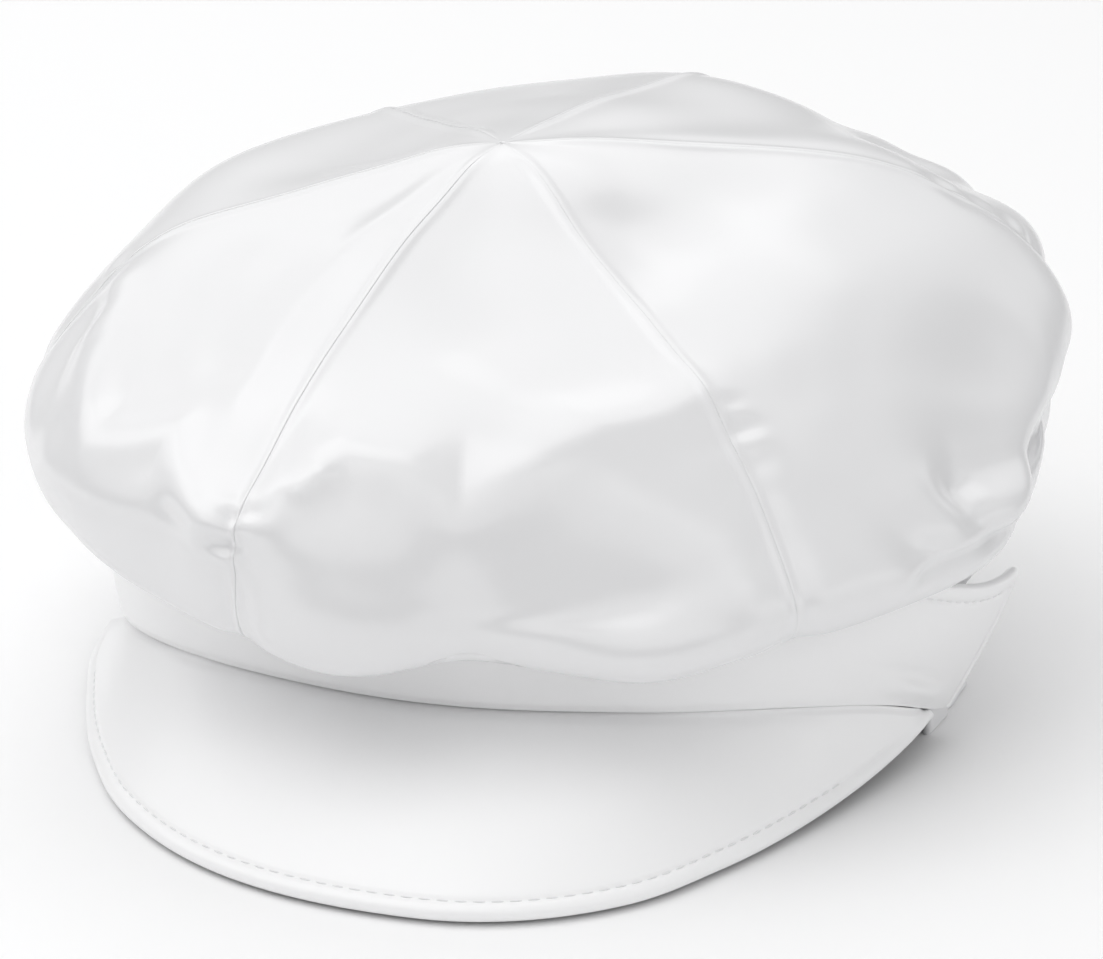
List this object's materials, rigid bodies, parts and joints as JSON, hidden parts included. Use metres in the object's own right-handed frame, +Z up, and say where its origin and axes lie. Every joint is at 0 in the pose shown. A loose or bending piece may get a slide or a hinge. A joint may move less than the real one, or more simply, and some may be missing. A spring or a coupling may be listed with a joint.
{
  "type": "christening cap",
  "caption": "Baby's white satin christening cap: full gored crown over a stiff cuff, short stitched peak in front, elastic gathered behind, open head hollow.",
  "frame": {"origin": "on the table, under the middle of the whole cap's box", "axes": "+Z up, the peak points to -Y, +X to the right seen from the front; the head goes in along +Z from below"},
  "size_m": [0.1688, 0.1852, 0.0928],
  "materials": {
    "crown_satin": "soft white satin over thin wadding",
    "cuff_satin": "white satin over a stiffener",
    "casing_satin": "white satin gathered on elastic",
    "peak_satin": "white satin over a stiffener, edge stitched"
  },
  "bodies": {
    "root": {"gore_front": "crown_satin", "gore_front_right": "crown_satin", "gore_back_right": "crown_satin", "gore_back": "crown_satin", "gore_back_left": "crown_satin", "gore_front_left": "crown_satin", "cuff": "cuff_satin", "elastic_casing": "casing_satin", "peak": "peak_satin"}
  },
  "joints": []
}
